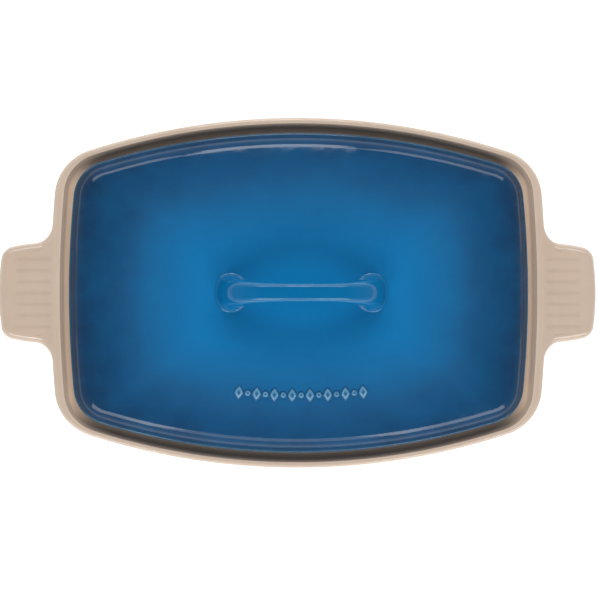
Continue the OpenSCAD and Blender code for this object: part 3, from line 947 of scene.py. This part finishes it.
def bare_clay():
    """The unglazed clay of the foot: matt, mottled and gritty, with darker grit."""
    m = Shader("bare_clay")
    cloud = m.span(m.noise(60.0, 5.0, 0.65), 0.3, 0.7)
    colour = m.blend(cloud, rgba(0.560, 0.450, 0.320), rgba(0.680, 0.570, 0.430))
    grit = m.span(m.noise(1400.0, 3.0), 0.60, 0.75)
    colour = m.blend(m.times(grit, 0.5), colour, rgba(0.330, 0.235, 0.150))
    roughness = m.span(m.noise(300.0, 3.0), 0.3, 0.7, 0.78, 0.92)
    grain = m.bump(m.noise(1700.0, 4.0, 0.7), 0.00025, 0.6)
    return m.finish(colour, roughness, grain, specular=0.25)


# --------------------------------------------------------------------------- pieces
SAND, BLUE, CLAY = sand_glaze(), blue_glaze(), bare_clay()


def placed(obj, body, nodes):
    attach(obj, body)
    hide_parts(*nodes)


bowl, bowl_rings, bowl_normals = make_bowl(SAND)
placed(bowl, "dish", ["dish_bowl"])
placed(make_foot(CLAY), "dish", ["foot_ring"])
placed(make_lug("left_lug_visual", bowl_rings, bowl_normals, -1, SAND), "dish", ["left_lug"])
placed(make_lug("right_lug_visual", bowl_rings, bowl_normals, 1, SAND), "dish", ["right_lug"])
placed(make_lid(BLUE), "lid", ["lid_shell"])
placed(make_loop(BLUE), "lid", ["lid_handle"])
placed(make_ornament(BLUE), "lid", ["lid_ornament"])


# --------------------------------------------------------------------------- studio
STAGE_HALF, STAGE_Z, STAGE_GLOW = 3.0, -0.2 * MM, 0.42


def make_floor():
    """A white floor that glows a little, so that it stays white right round the dish."""
    m = Shader("floor_white")
    keys = {
        "Base Color": rgba(0.9, 0.9, 0.9),
        "Roughness": 0.9,
        "Specular IOR Level": 0.1,
        "Emission Color": rgba(1.0, 1.0, 1.0),
        "Emission Strength": STAGE_GLOW,
    }
    body = m.add("BsdfPrincipled", keys)
    m.add("OutputMaterial", {0: body.outputs[0]})
    half, z = STAGE_HALF, STAGE_Z
    corners = [(-half, -half, z), (half, -half, z), (half, half, z), (-half, half, z)]
    floor = build("floor", corners, [[0, 1, 2, 3]], m.material)


# The air's grey at two heights, and its strength towards the dish's ends, next to 1 towards its sides
WORLD_STOPS, WORLD_ENDS = ((0.1, 0.78), (0.80, 0.17)), 0.6


def make_world():
    """A dark ceiling that pales towards the horizon, so that the crown stays free of white veil."""
    world = bpy.data.worlds.new("studio_air")
    world.use_nodes = True
    nodes, links = world.node_tree.nodes, world.node_tree.links
    nodes.clear()
    coord, split = nodes.new("ShaderNodeTexCoord"), nodes.new("ShaderNodeSeparateXYZ")
    ramp, air = nodes.new("ShaderNodeValToRGB"), nodes.new("ShaderNodeBackground")
    side, share = nodes.new("ShaderNodeMath"), nodes.new("ShaderNodeMapRange")
    out = nodes.new("ShaderNodeOutputWorld")
    side.operation = "ABSOLUTE"
    share.inputs["From Min"].default_value, share.inputs["From Max"].default_value = 0.2, 0.8
    share.inputs["To Min"].default_value, share.inputs["To Max"].default_value = WORLD_ENDS, 1.0
    links.new(coord.outputs["Generated"], split.inputs[0])
    links.new(split.outputs["Z"], ramp.inputs[0])
    links.new(split.outputs["Y"], side.inputs[0])
    links.new(side.outputs[0], share.inputs[0])
    links.new(ramp.outputs[0], air.inputs[0])
    links.new(share.outputs[0], air.inputs[1])
    links.new(air.outputs[0], out.inputs[0])
    for element, (height, grey) in zip(ramp.color_ramp.elements, WORLD_STOPS):
        element.position = height
        element.color = rgba(grey, grey, grey)
    bpy.context.scene.world = world


LIGHT_DISTANCE = 1.6


def softbox(name, azimuth, elevation, size, power):
    """An area light that looks at the dish's middle, at the height of its rim."""
    az, el = math.radians(azimuth), math.radians(elevation)
    away = Vector((math.cos(el) * math.cos(az), math.cos(el) * math.sin(az), math.sin(el)))
    light = bpy.data.lights.new(name, "AREA")
    light.shape = "RECTANGLE"
    light.size, light.size_y = size
    light.energy = power
    lamp = bpy.data.objects.new(name, light)
    lamp.location = away * LIGHT_DISTANCE + Vector((0, 0, RIM_Z))
    lamp.rotation_euler = away.to_track_quat("Z", "Y").to_euler()
    bpy.context.scene.collection.objects.link(lamp)


CAMERA_LEAN, CAMERA_DISTANCE, CAMERA_LENS = math.radians(2.9), 1.5, 144.0
CAMERA_AIM_X, CAMERA_AIM_Y = 0.2 * MM, -4.5 * MM


def make_camera():
    """The view straight down through a long lens, leaning a little in X."""
    lean = CAMERA_LEAN
    backward = Vector((-math.sin(lean), 0, math.cos(lean)))
    right = Vector((math.cos(lean), 0, math.sin(lean)))
    aim = Vector((CAMERA_AIM_X, CAMERA_AIM_Y, RIM_Z))
    camera = bpy.data.cameras.new("photo_view")
    camera.sensor_width, camera.lens = 36.0, CAMERA_LENS
    camera.dof.use_dof = False
    obj = bpy.data.objects.new("photo_view", camera)
    obj.matrix_world = Matrix((right, Vector((0, 1, 0)), backward)).transposed().to_4x4()
    obj.location = aim + CAMERA_DISTANCE * backward
    bpy.context.scene.collection.objects.link(obj)
    bpy.context.scene.camera = obj


make_floor()
make_world()
softbox("soft_north", 90, 38, (0.45, 0.55), 6.5)
softbox("soft_south", -90, 36, (0.9, 0.60), 4)
for side, turned in (("left", 1), ("right", -1)):
    softbox("soft_north_" + side, 90 + 30 * turned, 37, (0.8, 0.45), 5)
    softbox("soft_south_" + side, -90 - 31 * turned, 35, (0.85, 0.60), 8)
make_camera()
bpy.context.scene.view_settings.view_transform = "Standard"
